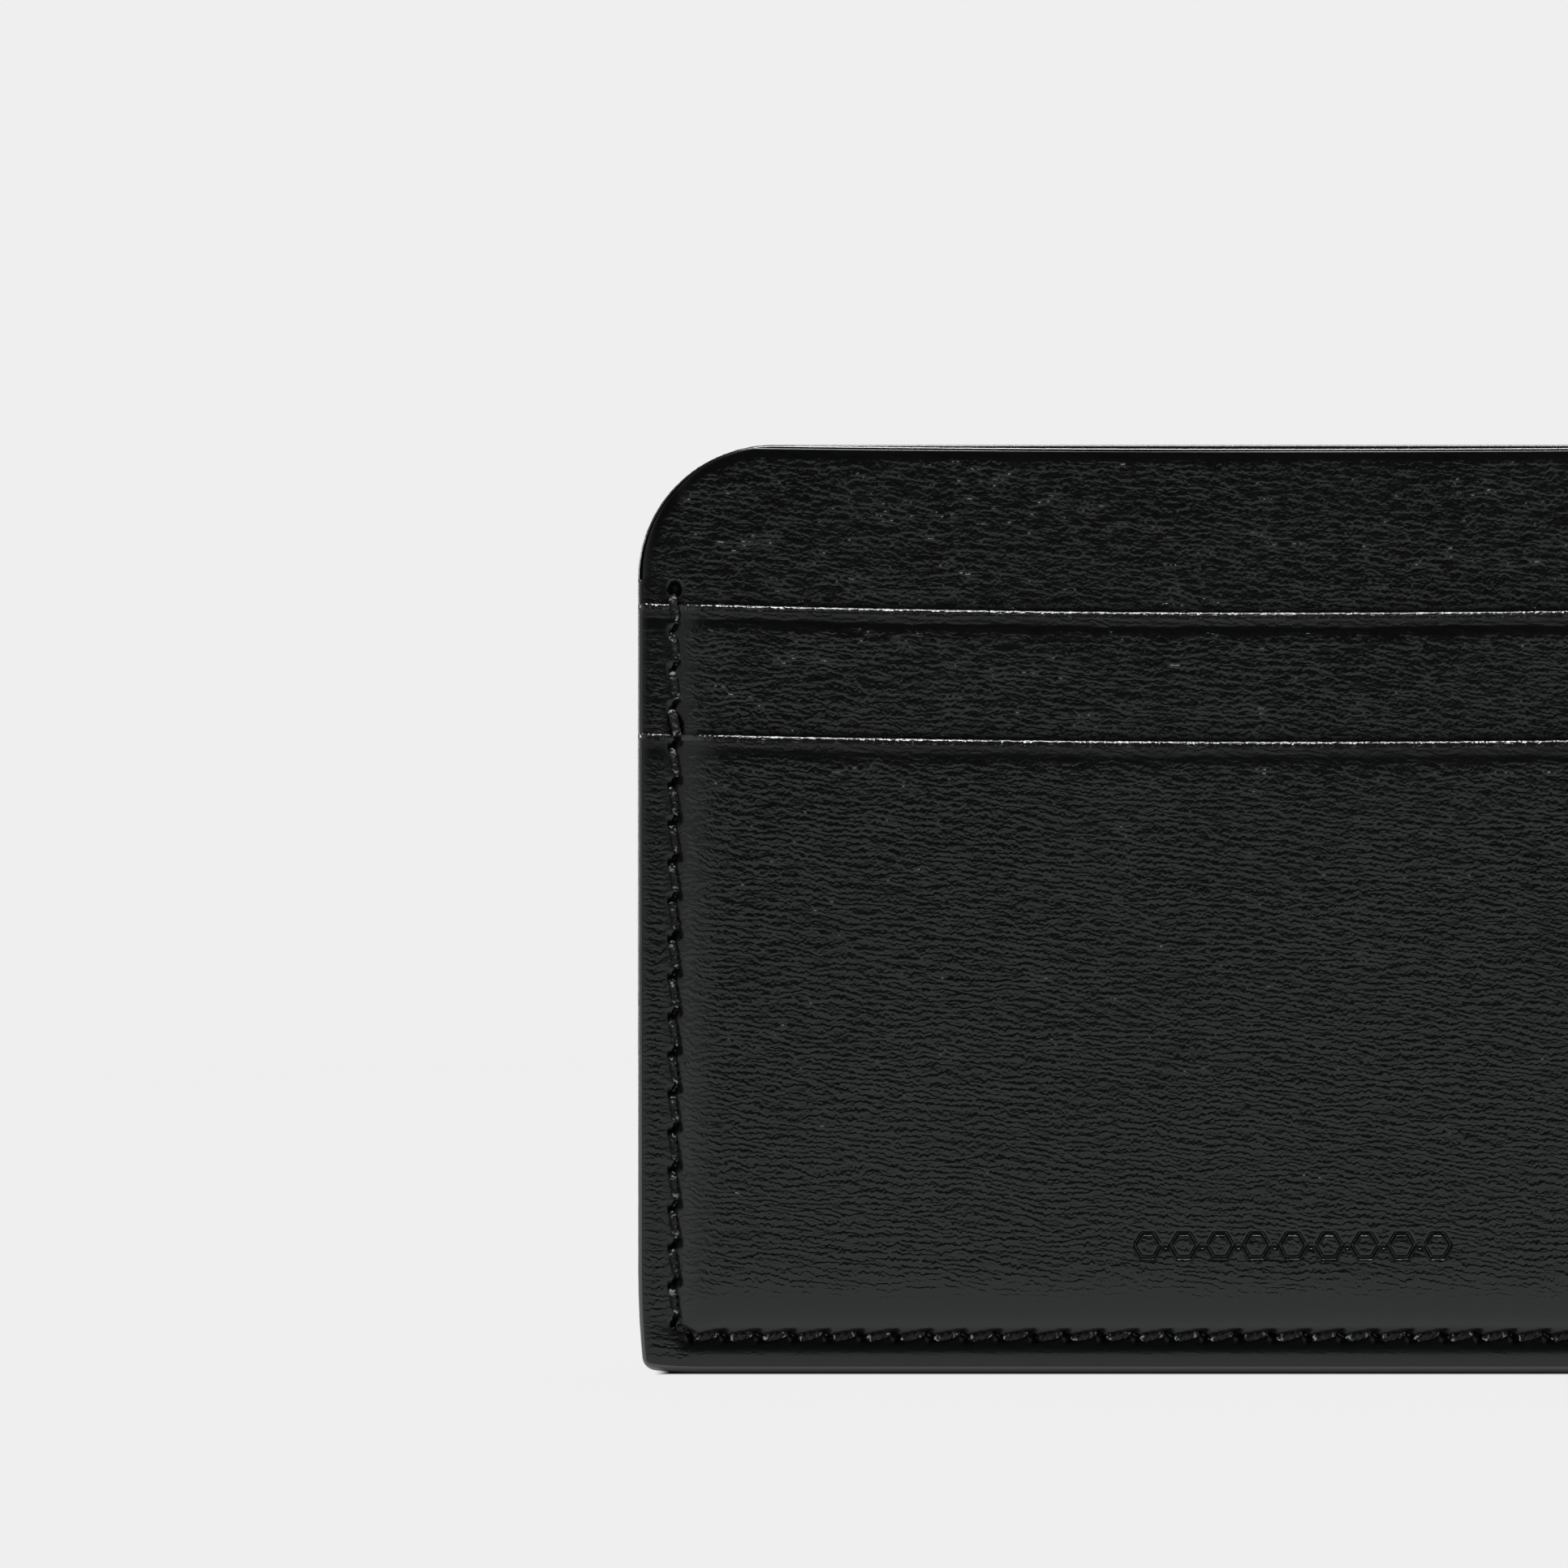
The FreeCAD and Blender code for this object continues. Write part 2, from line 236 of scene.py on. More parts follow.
def stitch_marks(x, z):
    """How deep the stitches and their slits press in, as a share of the way to the
    middle plane, and how near the stitches are, for the grain."""
    deep, near = np.zeros_like(x), np.zeros_like(x)
    for start, end in zip(HOLES, HOLES[1:]):
        length = np.linalg.norm(end - start)
        along = (end - start) / length
        inwards = np.array((-along[1], along[0]))
        middle = (start + end) / 2
        close = np.hypot(x - middle[0], z - middle[1]) < length / 2 + STITCH_REACH
        px, pz = x[close] - start[0], z[close] - start[1]
        a = (px * along[0] + pz * along[1]) / length
        n = px * inwards[0] + pz * inwards[1] - VEER * (2 * clamp(a) - 1)
        past = np.maximum(np.abs(a - 0.5) - 0.5, 0) * length
        off = np.hypot(n, past)
        wide = CHANNEL_HALF + CHANNEL_SWELL * np.sin(np.pi * clamp(a))
        channel = CHANNEL_DEPTH * (1 - smooth(CHANNEL_FLOOR, wide, off))
        deep[close] = np.maximum(deep[close], channel)
        near[close] = np.maximum(near[close], 1 - smooth(*SMOOTHED, off))
    for i, hole in enumerate(HOLES):
        before, after = HOLES[max(i - 1, 0)], HOLES[min(i + 1, len(HOLES) - 1)]
        along = (after - before) / np.linalg.norm(after - before)
        inwards = np.array((-along[1], along[0]))
        slit = along * math.cos(SLIT_TURN) - inwards * math.sin(SLIT_TURN)
        across = along * math.sin(SLIT_TURN) + inwards * math.cos(SLIT_TURN)
        close = np.hypot(x - hole[0], z - hole[1]) < STITCH_REACH
        px, pz = x[close] - hole[0], z[close] - hole[1]
        a = px * slit[0] + pz * slit[1]
        b = px * across[0] + pz * across[1]
        pit = SLIT_DEPTH * np.exp(-(2 * a / SLIT_LENGTH) ** 4 - (b / SLIT_HALF) ** 2)
        if i in (0, len(HOLES) - 1):
            oval = np.hypot(px, pz * 0.8) / FIRST_PIT
            pit = np.maximum(pit, FIRST_DEPTH * np.exp(-oval ** 4))
        deep[close] = np.maximum(deep[close], pit)
    return deep, near


def squeeze(x, z):
    """What the seam and the rolled edges leave of a layer's distance from the middle."""
    edge = edge_distance(x, z)
    roll = EDGE_ROLL_DEPTH * (1 - clamp(edge / EDGE_ROLL)) ** 2.4
    low = low_edge_share(x, z)
    wide, fall = (side + (bottom - side) * low for side, bottom in zip(SIDE_FILLET, LOW_FILLET))
    roll = roll + fall * (1 - np.sqrt(1 - (1 - clamp(edge / wide)) ** 2))
    flare = CORNER_FLARE * np.exp(-((np.abs(x) - EDGE_HALF) / FLARE_WIDE) ** 2
                                  - ((z - EDGE_LOW) / FLARE_TALL) ** 2)
    line = seam_distance(x, z)
    valley = SEAM_VALLEY * np.exp(-(line / SEAM_VALLEY_WIDTH) ** 2)
    deep, near = stitch_marks(x, z)
    return (1 + flare - np.minimum(roll, MOST_ROLL)) * (1 - np.maximum(valley, deep)), near


def unevenness(x, z):
    """Slow, shallow waves of a leather face, in millimetres."""
    return (0.045 * np.sin(x / 9.1 + 0.7 * np.sin(z / 11.0)) + 0.035 * np.sin(z / 6.7 + x / 23.0)
            + 0.03 * np.sin(x / 4.3 - z / 5.9 + 1.3))


def lift(x, z, foot):
    """The share of its full height that a pocket's face has reached."""
    inside = seam_distance(x, z)
    if foot:
        inside = np.minimum(inside, z - foot)
    t = clamp(inside / RISE_WIDTH)
    return 1 - (1 - t) ** 2.3


# ---- Leather panels ----
class Panel:
    """One leather panel: its outline, its layer and the height of its faces."""

    def __init__(self, name, top, dip, flat_out, thick, rise, shown_from, foot=None,
                 corner=0.0, crease=UPPER_CREASE):
        self.name, self.top, self.dip, self.corner = name, top, dip, corner
        self.flat_out, self.thick, self.rise, self.foot = flat_out, thick, rise, foot
        self.crease_depth, self.crease_step, self.crease_line = crease
        self.shown_from = shown_from

    def half_width(self, z):
        """Half the panel's width at a height, before its mouth dips."""
        half = side_at(z)
        low = clamp(1 - (z - EDGE_LOW) / LOW_RADIUS)
        half -= LOW_RADIUS * (1 - np.sqrt(1 - low ** 2))
        if self.corner:
            high = clamp((z - self.top + self.corner) / self.corner)
            half -= self.corner * (1 - np.sqrt(1 - high ** 2))
        return half

    def place(self, u, v):
        """The point (across, up) for u from -1 to 1 and v from 0 to 1."""
        straight = self.top - self.corner - EDGE_LOW
        arc = self.corner * math.pi / 2
        run = v * (straight + arc)
        turn = np.maximum(run - straight, 0) / max(self.corner, 1e-6)
        z = EDGE_LOW + np.minimum(run, straight) + self.corner * np.sin(turn)
        x = u * self.half_width(z)
        fall = self.dip * (1 - (x / EDGE_HALF) ** 2)
        lifted = (bottom_at(x) - EDGE_LOW) * clamp(1 - (z - EDGE_LOW) / LIFT_FROM) ** 2
        return x, z + lifted - fall * ((z - EDGE_LOW) / (self.top - EDGE_LOW)) ** 8

    def below_mouth(self, x, z):
        """How far a point is below the panel's upper edge."""
        if self.corner:
            high = clamp((z - self.top + self.corner) / self.corner)
            arc = self.corner - np.hypot(high * self.corner, np.maximum(
                np.abs(x) - EDGE_HALF + self.corner, 0))
            edge = np.where((high > 0) & (np.abs(x) > EDGE_HALF - self.corner), arc, 99.0)
            flat = self.top - self.dip * (1 - (x / EDGE_HALF) ** 2) - z
            return np.maximum(np.minimum(edge, flat), 0)
        return np.maximum(self.top - self.dip * (1 - (x / EDGE_HALF) ** 2) - z, 0)

    def face(self, x, z, outer):
        """Distance out of the outer or the inner face, and the depth of its grain."""
        lifted = lift(x, z, self.foot) if self.rise else 0.0
        pressed, near = squeeze(x, z)
        out = self.flat_out - (0 if outer else self.thick) + self.rise * lifted
        out = out + unevenness(x, z) * (lifted if self.rise else BODY_WAVES)
        below = self.below_mouth(x, z)
        if outer:
            turned_in = 1 - np.sqrt(1 - (1 - clamp(below / MOUTH_ROUND)) ** 2)
            out = out - MOUTH_ROUND * turned_in - self.stamp(x, z)
        if outer and self.corner:
            out = out - TOP_ROLL_DEPTH * (1 - clamp(below / TOP_ROLL)) ** 2
        elif outer:
            crease = (CREASE_BELOW + 0.06 * np.sin(x / 2.9) + 0.04 * np.sin(x / 0.83 + 1.0)
                      + 0.03 * np.sin(x / 0.31))
            fallen = 1 - (1 - clamp((below - BAND_FROM) / (crease - BAND_FROM))) ** 2.2
            upper = fallen * (1 - smooth(crease, crease + self.crease_step, below))
            line = np.exp(-((below - crease) / CREASE_HALF) ** 2)
            out = out - self.crease_depth * upper - self.crease_line * line
        start = TOP_GRAIN_FROM if self.corner else CREASE_BELOW
        grain = smooth(start, start + GRAIN_FADE, below)
        if not self.corner:
            grain = BAND_GRAIN + (1 - BAND_GRAIN) * grain
        least, start, end = EDGE_GRAIN
        whole = least + (1 - least) * smooth(start, end, edge_distance(x, z))
        grain = grain * (1 - STITCH_SMOOTHS * near) * whole
        if self.rise:
            least, start, end = FOOT_GRAIN
            inside = np.abs(x) < EDGE_HALF - 4
            grain = grain * (least + (1 - least) * smooth(start, end, z)) ** inside
        grain = grain * smooth(0.15, 0.4, self.stamp_distance(x, z))
        return out * pressed, grain

    def stamp(self, x, z):
        return 0.0

    def stamp_distance(self, x, z):
        return 9.0


class StampedPanel(Panel):
    """The panel with a blind-stamped ornament: a row of flat hexagons, linked by dots."""
    height, pitch, count = 10.6, 2.9, 9
    across, tall, point = 1.05, 0.95, 0.55
    stroke, dot, depth = 0.22, 0.12, 0.22

    def stamp_distance(self, x, z):
        """How far a point is from the middle line of the nearest stroke."""
        row = np.abs(x) < self.pitch * (self.count / 2 - 0.1)
        own = np.abs((x + self.pitch * self.count / 2) % self.pitch - self.pitch / 2)
        up = np.abs(z - self.height)
        slant = (own + up * self.point / self.tall - self.across) / math.hypot(
            1, self.point / self.tall)
        hexagon = np.abs(np.maximum(up - self.tall, slant))
        spot = np.maximum(np.hypot(self.pitch / 2 - own, up) - self.dot, 0)
        return np.where(row, np.minimum(hexagon, spot), 9.0)

    def stamp(self, x, z):
        return self.depth * (1 - smooth(0.02, self.stroke, self.stamp_distance(x, z)))

    def stamped(self, x, z, level):
        return self.stamp_distance(x, z) < (2.2, 1.3, 0.8, 0.42)[level]


BLANK_THICK = 0.5
CREASED_FACES = math.radians(50)      # edges sharper than this stay sharp
DETAIL_LEVELS = 4
SEAM_REACH = (2.6, 1.7, 0.95, -1)     # each level divides what is nearer than this
EDGE_REACH = (1.8, 1.2, 0.7, -1)
MOUTH_REACH = (2.4, 2.0, 1.3, -1)
HIDDEN_BY = 1.0                       # and nothing this far under the next panel


def close_to_detail(panel, x, z, level, cell):
    """Whether a face of the flat blank needs dividing once more, at this level."""
    seam = np.full_like(x, 99.0)
    for start, end in zip(HOLES, HOLES[1:]):
        along = end - start
        t = clamp(((x - start[0]) * along[0] + (z - start[1]) * along[1]) / (along @ along))
        off = np.hypot(x - start[0] - t * along[0], z - start[1] - t * along[1])
        seam = np.minimum(seam, off)
    close = seam < SEAM_REACH[level] + cell / 2
    close = close | (edge_distance(x, z) < EDGE_REACH[level])
    close = close | (panel.below_mouth(x, z) < MOUTH_REACH[level])
    close = close & (z > panel.shown_from - HIDDEN_BY)
    if isinstance(panel, StampedPanel):
        close = close | panel.stamped(x, z, level)
    return close


def cut_blank(panel, cell):
    """A flat blank, finely divided where the panel has its stitches, edges and crease,
    with its thickness: u and v in its plane and its inner face below it."""
    columns, rows = round(2 * EDGE_HALF / cell), round((panel.top - EDGE_LOW) / cell)
    bpy.ops.object.select_all(action="DESELECT")
    bpy.ops.mesh.primitive_grid_add(x_subdivisions=columns, y_subdivisions=rows, size=2)
    blank = bpy.context.object
    blank.name = panel.name
    bpy.ops.object.mode_set(mode="EDIT")
    bpy.ops.mesh.select_mode(type="FACE")
    for level in range(DETAIL_LEVELS):
        mesh = bmesh.from_edit_mesh(blank.data)
        mesh.faces.ensure_lookup_table()
        middles = np.array([face.calc_center_median() for face in mesh.faces])
        x, z = panel.place(middles[:, 0], middles[:, 1] / 2 + 0.5)
        wanted = close_to_detail(panel, x, z, level, cell / 2 ** level)
        for face, pick in zip(mesh.faces, wanted):
            face.select_set(bool(pick))
        bmesh.update_edit_mesh(blank.data)
        bpy.ops.mesh.subdivide(number_cuts=1, quadcorner="INNERVERT")
    bpy.ops.object.mode_set(mode="OBJECT")
    solid = blank.modifiers.new("thickness", "SOLIDIFY")
    solid.thickness, solid.offset, solid.use_rim = BLANK_THICK, -1.0, True
    bpy.ops.object.modifier_apply(modifier=solid.name)
    return blank


def turned(x, out, z, side):
    """Row-frame metres for a point of the front (side 1) or the back (side -1)."""
    return np.stack([side * x, -side * out, z], axis=1) / MM


def form_panel(panel, side, cell=1.28):
    """Cuts the blank and forms it over the layers below."""
    blank = cut_blank(panel, cell)
    mesh = blank.data
    flat = flat_points(mesh)
    outer = flat[:, 2] > -BLANK_THICK / 2
    x, z = panel.place(flat[:, 0], flat[:, 1] / 2 + 0.5)
    out = np.empty_like(x)
    grain = np.zeros_like(x)
    out[outer], grain[outer] = panel.face(x[outer], z[outer], True)
    out[~outer], grain[~outer] = panel.face(x[~outer], z[~outer], False)
    mesh.vertices.foreach_set("co", turned(x, out, z, side).ravel())
    mask = mesh.attributes.new("grain", "FLOAT", "POINT")
    mask.data.foreach_set("value", grain.astype(np.float32))
    inner = ~outer
    for face in mesh.polygons:
        face.material_index = int(all(inner[i] for i in face.vertices))
    mesh.update()
    select_only(blank)
    bpy.ops.object.shade_smooth_by_angle(angle=CREASED_FACES)
    return blank


def panels_of(side):
    """The leather of one half: body, upper slot and lower slot."""
    half = "front" if side > 0 else "back"
    body = Panel(half + "_body_leather", BODY_TOP, FRONT_TOP_DIP if side > 0 else BACK_TOP_DIP,
                 BODY_OUT, BODY_OUT - BODY_IN, 0.0, UPPER_TOP, corner=TOP_RADIUS)
    upper = Panel(half + "_upper_slot_leather", UPPER_TOP, UPPER_DIP, UPPER_FLAT,
                  SLOT_LEATHER, UPPER_OUT - UPPER_FLAT, LOWER_TOP, foot=UPPER_FLOOR)
    lower_kind = StampedPanel if side > 0 else Panel
    lower = lower_kind(half + "_lower_slot_leather", LOWER_TOP, LOWER_DIP, LOWER_FLAT,
                       SLOT_LEATHER, LOWER_OUT - LOWER_FLAT, EDGE_LOW,
                       crease=LOWER_CREASE)
    return body, upper, lower


def skin(panels, x, z):
    """Distance out of whatever leather is outermost at each point."""
    body, upper, lower = panels
    out = body.face(x, z, True)[0]
    for panel in (upper, lower):
        out = np.where(panel.below_mouth(x, z) > 0, panel.face(x, z, True)[0], out)
    return out


# ---- Swept pieces: edge paint and thread ----
def divided_cylinder(name, count, size):
    """An upright unit cylinder with size sides and count rings of vertices."""
    bpy.ops.object.select_all(action="DESELECT")
    bpy.ops.mesh.primitive_cylinder_add(vertices=size, radius=1, depth=2)
    piece = bpy.context.object
    piece.name = name
    bpy.ops.object.mode_set(mode="EDIT")
    bpy.ops.mesh.select_mode(type="EDGE")
    left = count - 1
    while left > 1:
        share = next(n for n in range(min(left, 100), 0, -1) if left % n == 0)
        mesh = bmesh.from_edit_mesh(piece.data)
        for edge in mesh.edges:
            edge.select_set(abs(edge.verts[0].co.z - edge.verts[1].co.z) > 1e-6)
        bmesh.update_edit_mesh(piece.data)
        bpy.ops.mesh.subdivide(number_cuts=share - 1)
        left //= share
    bpy.ops.object.mode_set(mode="OBJECT")
    return piece


def sleeve(name, rings):
    """A closed tube: a divided cylinder whose rings are laid in their places. rings holds
    metres, as (rings, points round one, 3)."""
    piece = divided_cylinder(name, *rings.shape[:2])
    lay_rings(piece.data, rings)
    return outwards(piece)


def lay_rings(mesh, rings):
    """Moves the vertices of an upright unit cylinder to the rings' points."""
    count, size = rings.shape[:2]
    flat = flat_points(mesh)
    ring = np.rint((flat[:, 2] + 1) / 2 * (count - 1)).astype(int)
    turn = np.rint(np.arctan2(flat[:, 0], flat[:, 1]) / (2 * math.pi) * size).astype(int) % size
    mesh.vertices.foreach_set("co", rings[ring, turn].ravel())
    mesh.update()


def outwards(obj):
    select_only(obj)
    bpy.ops.object.mode_set(mode="EDIT")
    bpy.ops.mesh.select_all(action="SELECT")
    bpy.ops.mesh.normals_make_consistent(inside=False)
    bpy.ops.object.mode_set(mode="OBJECT")
    bpy.ops.object.shade_smooth_by_angle(angle=math.radians(60))
    return obj


def evenly(path, steps):
    """The same path with evenly spaced points."""
    length = along_path(path)
    wanted = np.linspace(0, length[-1], steps + 1)
    return np.stack([np.interp(wanted, length, path[:, axis]) for axis in range(2)], axis=1)


def path_normals(path):
    """Unit normals on the left of a path in the plane."""
    run = np.gradient(path, axis=0)
    run /= np.linalg.norm(run, axis=1)[:, None]
    return np.stack([-run[:, 1], run[:, 0]], axis=1)


def ripple(length, amount, seed):
    """Small uneven swells along a hand-painted edge."""
    waves = ((1.31, 0.5), (0.57, 0.8), (0.29, 0.7), (3.7, 0.4))
    total = sum(part * np.sin(2 * math.pi * length / wave + seed * (i + 1) * 1.7)
                for i, (wave, part) in enumerate(waves))
    return amount * total


def along_path(path):
    steps = np.linalg.norm(np.diff(path, axis=0), axis=1)
    return np.concatenate([[0], np.cumsum(steps)])


MOUTH_CAP = 0.5               # how far the paint reaches down over a slot's edge
TOP_CAP = 0.17                # and over the top edges


def capped_edge(name, path, inner, outer, side, seed, tall):
    """Paint over one sheet's edge: a cap as tall as given along the path, which has the
    leather on its right, between the two faces' distances out."""
    normal = path_normals(path)
    length = along_path(path)
    middle, half = (outer + inner) / 2, (outer - inner) / 2 + 0.02
    rings = []
    for turn in np.linspace(0, math.pi, 13):
        lobe = math.sin(turn) ** 0.85
        rise = PAINT - tall + tall * lobe
        swell = (ripple(length, 0.008, seed) + ripple(length * 1.7, 0.004, seed + 4)) * lobe
        flat = path + normal * (rise + swell)[:, None]
        rings.append(turned(flat[:, 0], middle + half * math.cos(turn), flat[:, 1], side))
    for share in (-0.7, 0.7):
        flat = path + normal * (PAINT - tall - 0.03)
        rings.append(turned(flat[:, 0], middle + half * share, flat[:, 1], side))
    return sleeve(name, np.stack(rings, axis=1))


def mouth_edge(panel, side, name, seed):
    """The round, painted edge of a slot panel."""
    x = np.linspace(-EDGE_HALF + 0.02, EDGE_HALF - 0.02, 801)
    z = panel.top - panel.dip * (1 - (x / EDGE_HALF) ** 2)
    outer = panel.face(x, z - 0.3, True)[0]
    inner = panel.face(x, z - 0.3, False)[0]
    return capped_edge(name, np.stack([x, z], axis=1), inner, outer, side, seed, MOUTH_CAP)


def top_edge_path(panel, low):
    """From the left side's height low, over both corners, to the same height right."""
    straight = panel.top - panel.corner
    left = [(-EDGE_HALF, z) for z in np.arange(low, straight, 0.5)]
    turns = np.linspace(0, math.pi / 2, 48)
    centre = EDGE_HALF - panel.corner
    arc = [(-centre - panel.corner * math.cos(t), straight + panel.corner * math.sin(t))
           for t in turns]
    top = [(x, panel.top) for x in np.linspace(-centre, centre, 300)[1:-1]]
    points = np.array(left + arc + top + [(-x, z) for x, z in reversed(left + arc)])
    x, z = points[:, 0], points[:, 1]
    fall = panel.dip * (1 - (x / EDGE_HALF) ** 2)
    fallen = z - fall * ((z - EDGE_LOW) / (panel.top - EDGE_LOW)) ** 8
    return evenly(np.stack([x, fallen], axis=1), 600)


def sewn_edge_path(high):
    """The leather's edge from the left side's height high, down, along the bottom and up."""
    heights = np.linspace(high, EDGE_LOW + LOW_RADIUS, 260)
    body = panels_of(1)[0]
    left = np.stack([-side_at(heights), heights], axis=1)
    heights = EDGE_LOW + LOW_RADIUS * (1 - np.sin(np.linspace(0, math.pi / 2, 24)))[1:]
    turn = np.stack([-body.half_width(heights), heights], axis=1)
    across = np.linspace(turn[-1, 0], 0, 300)[1:]
    low = np.stack([across, np.full_like(across, EDGE_LOW)], axis=1)
    half = np.concatenate([left, turn, low])
    x, z = half[:, 0], half[:, 1]
    half[:, 1] += (bottom_at(x) - EDGE_LOW) * clamp(1 - (z - EDGE_LOW) / LIFT_FROM) ** 2
    return evenly(np.concatenate([half, (half * (-1, 1))[-2::-1]]), 900)


def sewn_edge(panels_front, panels_back, high, name):
    """The paint round the sewn edges, over both halves at once, thinly lapped on to
    their faces and grooved where the two halves meet."""
    path = sewn_edge_path(high)
    normal = -path_normals(path)
    length = along_path(path)
    laps = (1.0, 0.68, 0.4, 0.2, 0.06)    # from the thin rim of the lap out to the edge
    lap_width = 0.24 + 0.26 * low_edge_share(path[:, 0], path[:, 1])
    shares = ((0.97, 0.3), (0.9, 0.62), (0.78, 0.85), (0.55, 0.97), (0.3, 1.0), (0.08, 0.95))

    def edge_out(panels, mirror, inside):
        point = path - normal * (inside + np.zeros(len(path)))[:, None]
        return skin(panels, point[:, 0] * mirror, point[:, 1])

    def ring(flat, y):
        return np.stack([flat[:, 0], y, flat[:, 1]], axis=1) / MM

    front_end = edge_out(panels_front, 1, 0.05) + 0.05
    back_end = edge_out(panels_back, -1, 0.05) + 0.05
    rings = []
    for lap in laps:
        inside = lap * lap_width
        out = edge_out(panels_front, 1, inside + 0.02) + 0.012 + 0.05 * (1 - lap)
        rings.append(ring(path - normal * inside[:, None], -out))
    for share, proud in shares:
        swell = PAINT * proud + ripple(length, 0.005, 2.0) * proud
        rings.append(ring(path + normal * swell[:, None], -front_end * share))
    rings.append(ring(path + normal * PAINT * 0.72, front_end * 0))
    for share, proud in reversed(shares):
        swell = PAINT * proud + ripple(length, 0.005, 4.0) * proud
        rings.append(ring(path + normal * swell[:, None], back_end * share))
    for lap in reversed(laps):
        inside = lap * lap_width
        out = edge_out(panels_back, -1, inside + 0.02) + 0.012 + 0.05 * (1 - lap)
        rings.append(ring(path - normal * inside[:, None], out))
    rings.append(ring(path - normal * 0.2, back_end * 0.8))
    rings.append(ring(path - normal * 0.2, -front_end * 0.8))
    return sleeve(name, np.stack(rings, axis=1))


def flat_level(z):
    """Distance out of the flat sewn leather at a height."""
    if z < LOWER_TOP:
        return LOWER_FLAT
    return UPPER_FLAT if z < UPPER_TOP else BODY_OUT


def seam_stitches(side, name):
    """The thread on one face: each stitch rises out of a slit's lower end, lies in the
    channel and dives into the upper end of the next."""
    steps = np.array((0, 0.05, 0.13, 0.27, 0.5, 0.73, 0.87, 0.95, 1))
    turns = np.arange(8) / 8 * 2 * math.pi
    template = divided_cylinder("stitch", len(steps), len(turns))
    radius, stitches = THREAD / 2, []
    for start, end in zip(HOLES, HOLES[1:]):
        length = np.linalg.norm(end - start)
        along = (end - start) / length
        inwards = np.array((-along[1], along[0]))
        run = STITCH_IN / length + steps * (1 - 2 * STITCH_IN / length)
        flat = start + np.outer(run, end - start) + np.outer(VEER * (2 * steps - 1), inwards)
        first, last = flat_level(start[1]), flat_level(end[1])
        rising = smooth(0.0, 0.45, steps) if last > first else smooth(0.55, 1.0, steps)
        level = first + (last - first) * rising
        ends = np.minimum(steps, 1 - steps) * length
        dive = DIVE_DEPTH * np.exp(-(ends / DIVE_WIDTH) ** 2)
        out = level * (1 - CHANNEL_DEPTH) + radius * (LIES_PROUD - dive)
        centre = np.stack([flat[:, 0], out, flat[:, 1]], axis=1)
        way = np.gradient(centre, axis=0)
        way /= np.linalg.norm(way, axis=1)[:, None]
        lateral = np.stack([inwards[0] + 0 * out, 0 * out, inwards[1] + 0 * out], axis=1)
        normal = np.cross(way, lateral)
        wide = (radius * (0.8 + 0.2 * np.sin(math.pi * steps)))[:, None]
        ring = np.stack([centre + (lateral * math.cos(t) + normal * FLATTENED * math.sin(t)) * wide
                         for t in turns], axis=1)
        placed = turned(ring[..., 0].ravel(), ring[..., 1].ravel(), ring[..., 2].ravel(), side)
        stitch = bpy.data.objects.new(name, template.data.copy())
        bpy.context.scene.collection.objects.link(stitch)
        lay_rings(stitch.data, placed.reshape(ring.shape))
        stitches.append(stitch)
    bpy.data.objects.remove(template)
    select_only(stitches[0])
    for stitch in stitches:
        stitch.select_set(True)
    bpy.ops.object.join()
    stitches[0].name = name
    return outwards(stitches[0])


# ---- Linings ----
def lining_sheet(side, name):
    """The cloth glued inside one body panel, as a thin closed sheet."""
    body = panels_of(side)[0]
    body.name, body.shown_from = name, 1e3
    blank = cut_blank(body, 2.6)
    mesh = blank.data
    flat = flat_points(mesh)
    glued = flat[:, 2] > -BLANK_THICK / 2
    x, z = body.place(flat[:, 0], flat[:, 1] / 2 + 0.5)
    pressed = squeeze(x, z)[0]
    out = np.where(glued, BODY_IN - 0.01, LINING_IN + 0.01) * pressed
    mesh.vertices.foreach_set("co", turned(x, out, z, side).ravel())
    mesh.update()
    select_only(blank)
    bpy.ops.object.shade_smooth_by_angle(angle=CREASED_FACES)
    return blank


# ---- Materials ----
def linear(hex_code):
    """A linear colour from an sRGB hex value."""
    parts = [int(hex_code[i:i + 2], 16) / 255 for i in (1, 3, 5)]
    return [p / 12.92 if p <= 0.04045 else ((p + 0.055) / 1.055) ** 2.4 for p in parts] + [1.0]


def add(tree, kind, inputs=(), result=0, **settings):
    """Adds a shader node with its settings and its inputs, each one a number, a colour or
    another node's socket, and gives one of its outputs."""
    made = tree.nodes.new("ShaderNode" + kind)
    for name, value in settings.items():
        setattr(made, name, value)
    for name, value in (inputs.items() if isinstance(inputs, dict) else enumerate(inputs)):
        if isinstance(value, bpy.types.NodeSocket):
            tree.links.new(value, made.inputs[name])
        else:
            made.inputs[name].default_value = value
    return made.outputs[result] if len(made.outputs) else made


def new_material(name):
    """An empty material, and the place on the object in millimetres."""
    material = bpy.data.materials.new(name)
    material.use_nodes = True
    tree = material.node_tree
    tree.nodes.clear()
    place = add(tree, "TexCoord", result="Object")
    return material, tree, add(tree, "VectorMath", {0: place, "Scale": MM}, operation="SCALE")


GRAIN_SLANT = math.radians(6.0)     # the wrinkles run down to the right
GRAIN_DEPTH = 0.052                 # how deep the deepest wrinkles are


